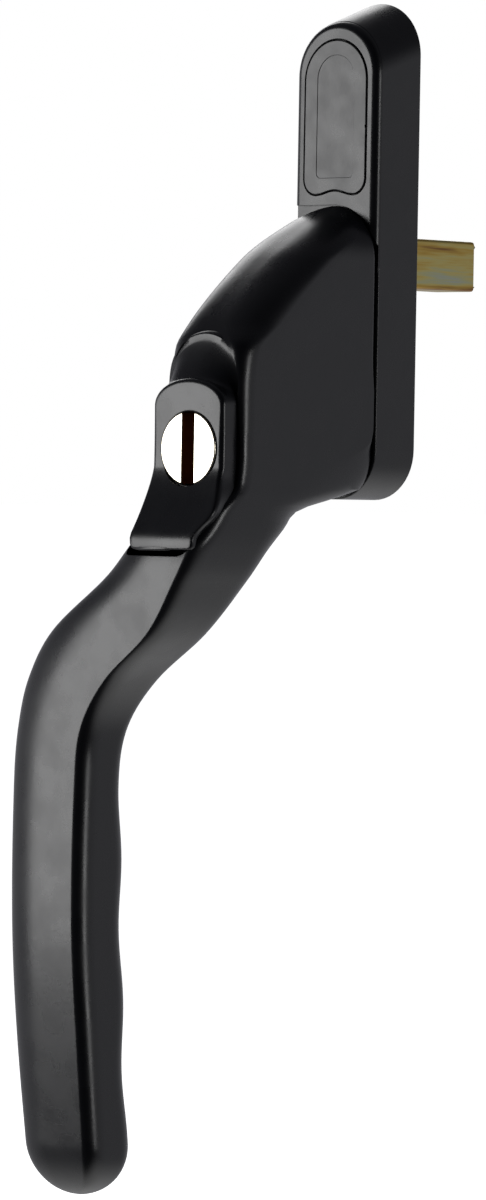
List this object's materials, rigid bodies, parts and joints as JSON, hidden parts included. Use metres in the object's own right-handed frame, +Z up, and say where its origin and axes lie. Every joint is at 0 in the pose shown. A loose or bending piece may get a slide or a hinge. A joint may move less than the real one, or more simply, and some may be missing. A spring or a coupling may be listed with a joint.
{
  "type": "cranked locking window handle",
  "caption": "Cranked window sash handle: slim backplate, side-cranked lever with finger hollows, key lock and square spindle.",
  "frame": {"origin": "on the spindle's axis, in the plane of the backplate's sash face", "axes": "+Z up along the backplate, +Y into the sash along the spindle, +X to the right seen from the room"},
  "size_m": [0.0362, 0.0607, 0.165],
  "materials": {
    "powder_coat": "satin black powder coat on zinc alloy",
    "cap_plastic": "satin black moulded",
    "yellow_zinc": "steel, zinc plated and yellow passivated",
    "nickel": "brass, satin nickel plated",
    "cast_zinc": "bare",
    "spring_steel": "oiled",
    "black_steel": "black oxide",
    "nylon": "natural moulded nylon"
  },
  "bodies": {
    "backplate": {"backplate": "powder_coat", "cover_cap": "cap_plastic", "bearing_washer": "nylon", "wave_washer": "spring_steel", "upper_detent_guide": "nylon", "lower_detent_guide": "nylon", "upper_detent_ball": "spring_steel", "lower_detent_ball": "spring_steel", "upper_detent_spring": "spring_steel", "lower_detent_spring": "spring_steel"},
    "lever": {"lever": "powder_coat", "spindle": "yellow_zinc", "spindle_grub_screw": "black_steel", "retaining_circlip": "spring_steel", "lock_housing": "powder_coat", "bolt_spring": "spring_steel"},
    "lock_barrel": {"lock_barrel": "nickel", "lock_cam": "cast_zinc", "barrel_circlip": "spring_steel"},
    "locking_bolt": {"locking_bolt": "nickel"}
  },
  "joints": [
    {"name": "lever_turn", "type": "hinge", "parent": "backplate", "child": "lever", "pos_m": [0, 0, 0], "axis": [0, 1, 0], "range_deg": [0, 90]},
    {"name": "lock_turn", "type": "hinge", "parent": "lever", "child": "lock_barrel", "pos_m": [0, -0.038, -0.0264], "axis": [0, 1, 0], "range_deg": [0, 90]},
    {"name": "bolt_slide", "type": "slide", "parent": "lever", "child": "locking_bolt", "axis": [0, 1, 0], "range_m": [0, 0.003], "deforming": ["bolt_spring"]}
  ],
  "couplings": [
    {"joint": "bolt_slide", "follows": "lock_turn", "m_per_rad": 0.0019}
  ]
}
